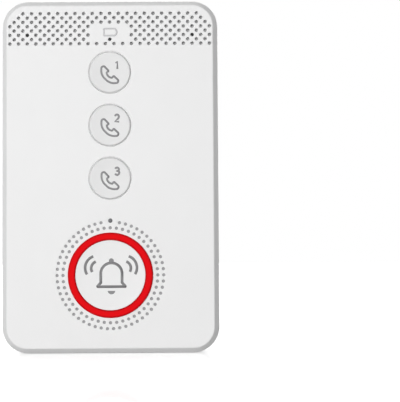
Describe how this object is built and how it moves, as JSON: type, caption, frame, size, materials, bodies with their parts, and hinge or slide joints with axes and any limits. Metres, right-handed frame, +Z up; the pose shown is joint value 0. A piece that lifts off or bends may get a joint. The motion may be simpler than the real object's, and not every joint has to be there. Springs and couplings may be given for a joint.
{
  "type": "medical alert base station",
  "caption": "Upright rounded base station for a personal alarm, with a perforated speaker face, a column of round call keys and a wide alarm key in a raised red ring.",
  "frame": {"origin": "centre of the flat underside, midway through the casing's width and depth", "axes": "+X to the right seen from the front, +Y from the front face to the back, +Z up"},
  "size_m": [0.092, 0.0228, 0.15],
  "materials": {
    "casing_white": "fine moulded grain",
    "cover_white": "fine moulded grain",
    "key_white": "satin",
    "ring_red": "translucent red",
    "diffuser_pale": "milky",
    "light_clear": "clear",
    "cloth_grey": "woven",
    "foam_black": "foam",
    "speaker_black": "moulded",
    "cone_paper": "pressed",
    "magnet_steel": "plated",
    "screw_steel": "plated",
    "board_green": "solder mask",
    "switch_black": "moulded",
    "stem_white": "moulded",
    "led_white": "clear",
    "can_steel": "tinned",
    "chip_black": "moulded",
    "antenna_amber": "film",
    "cell_silver": "foil",
    "pad_grey": "foam",
    "connector_ivory": "moulded",
    "socket_steel": "stamped",
    "slider_grey": "moulded"
  },
  "bodies": {
    "housing": {"alarm_light_pipe": "light_clear", "alarm_ring": "ring_red", "alarm_switch_body": "switch_black", "battery_cell": "cell_silver", "battery_connector": "connector_ivory", "battery_lead": "antenna_amber", "battery_light_pipe": "light_clear", "battery_pad": "pad_grey", "board_screws": "screw_steel", "call_switch_body_1": "switch_black", "call_switch_body_2": "switch_black", "call_switch_body_3": "switch_black", "case_screws": "screw_steel", "cellular_antenna": "antenna_amber", "cellular_module": "can_steel", "front_shell": "casing_white", "grille_cloth": "cloth_grey", "halo_diffuser": "diffuser_pale", "halo_leds": "led_white", "indicator_leds": "led_white", "main_board": "board_green", "microphone_boot_left": "foam_black", "microphone_boot_right": "foam_black", "microphone_left": "magnet_steel", "microphone_right": "magnet_steel", "power_switch_body": "switch_black", "processor_chip": "chip_black", "radio_module": "can_steel", "rear_shell": "casing_white", "ring_leds": "led_white", "service_cover": "cover_white", "service_cover_screw": "screw_steel", "sim_socket": "socket_steel", "speaker_cone_left": "cone_paper", "speaker_cone_right": "cone_paper", "speaker_frame_left": "speaker_black", "speaker_frame_right": "speaker_black", "speaker_gasket_left": "foam_black", "speaker_gasket_right": "foam_black", "speaker_lead_left": "antenna_amber", "speaker_lead_right": "antenna_amber", "speaker_magnet_left": "magnet_steel", "speaker_magnet_right": "magnet_steel", "usb_socket": "socket_steel", "usb_tongue": "chip_black"},
    "call_key_1": {"call_button_1": "key_white", "call_switch_stem_1": "stem_white"},
    "call_key_2": {"call_button_2": "key_white", "call_switch_stem_2": "stem_white"},
    "call_key_3": {"call_button_3": "key_white", "call_switch_stem_3": "stem_white"},
    "alarm_key": {"alarm_button": "key_white", "alarm_switch_stem": "stem_white"},
    "power_slide": {"power_slider": "slider_grey"}
  },
  "joints": [
    {"name": "call_key_1_press", "type": "slide", "parent": "housing", "child": "call_key_1", "axis": [0, 1, 0], "range_m": [0, 0.0006], "stiffness_N_per_m": 800},
    {"name": "call_key_2_press", "type": "slide", "parent": "housing", "child": "call_key_2", "axis": [0, 1, 0], "range_m": [0, 0.0006], "stiffness_N_per_m": 800},
    {"name": "call_key_3_press", "type": "slide", "parent": "housing", "child": "call_key_3", "axis": [0, 1, 0], "range_m": [0, 0.0006], "stiffness_N_per_m": 800},
    {"name": "alarm_key_press", "type": "slide", "parent": "housing", "child": "alarm_key", "axis": [0, 1, 0], "range_m": [0, 0.0008], "stiffness_N_per_m": 900},
    {"name": "power_slide_travel", "type": "slide", "parent": "housing", "child": "power_slide", "axis": [0, 0, 1], "range_m": [0, 0.002]}
  ]
}
